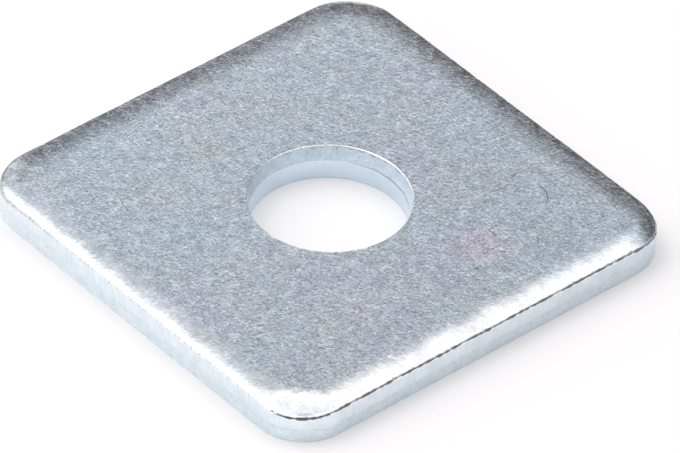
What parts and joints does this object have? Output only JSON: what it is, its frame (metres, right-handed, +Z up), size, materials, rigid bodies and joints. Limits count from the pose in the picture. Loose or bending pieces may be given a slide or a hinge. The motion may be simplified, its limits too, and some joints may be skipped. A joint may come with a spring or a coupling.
{
  "type": "square plate washer",
  "caption": "Flat square plate washer punched from zinc-plated steel, with rounded corners and a round bolt hole, spreading a bolt's load over wood or sheet.",
  "frame": {"origin": "centre of the bottom face, on the axis of the hole", "axes": "+Z up along the hole, out of the top face with the rolled-over edges; +X and +Y square to the sides"},
  "size_m": [0.04, 0.04, 0.0032],
  "materials": {
    "zinc_plated_steel": "bright zinc plate over punched flat steel, with fine grain, scuffs and faint passivation tints"
  },
  "bodies": {
    "root": {"washer": "zinc_plated_steel"}
  },
  "joints": []
}
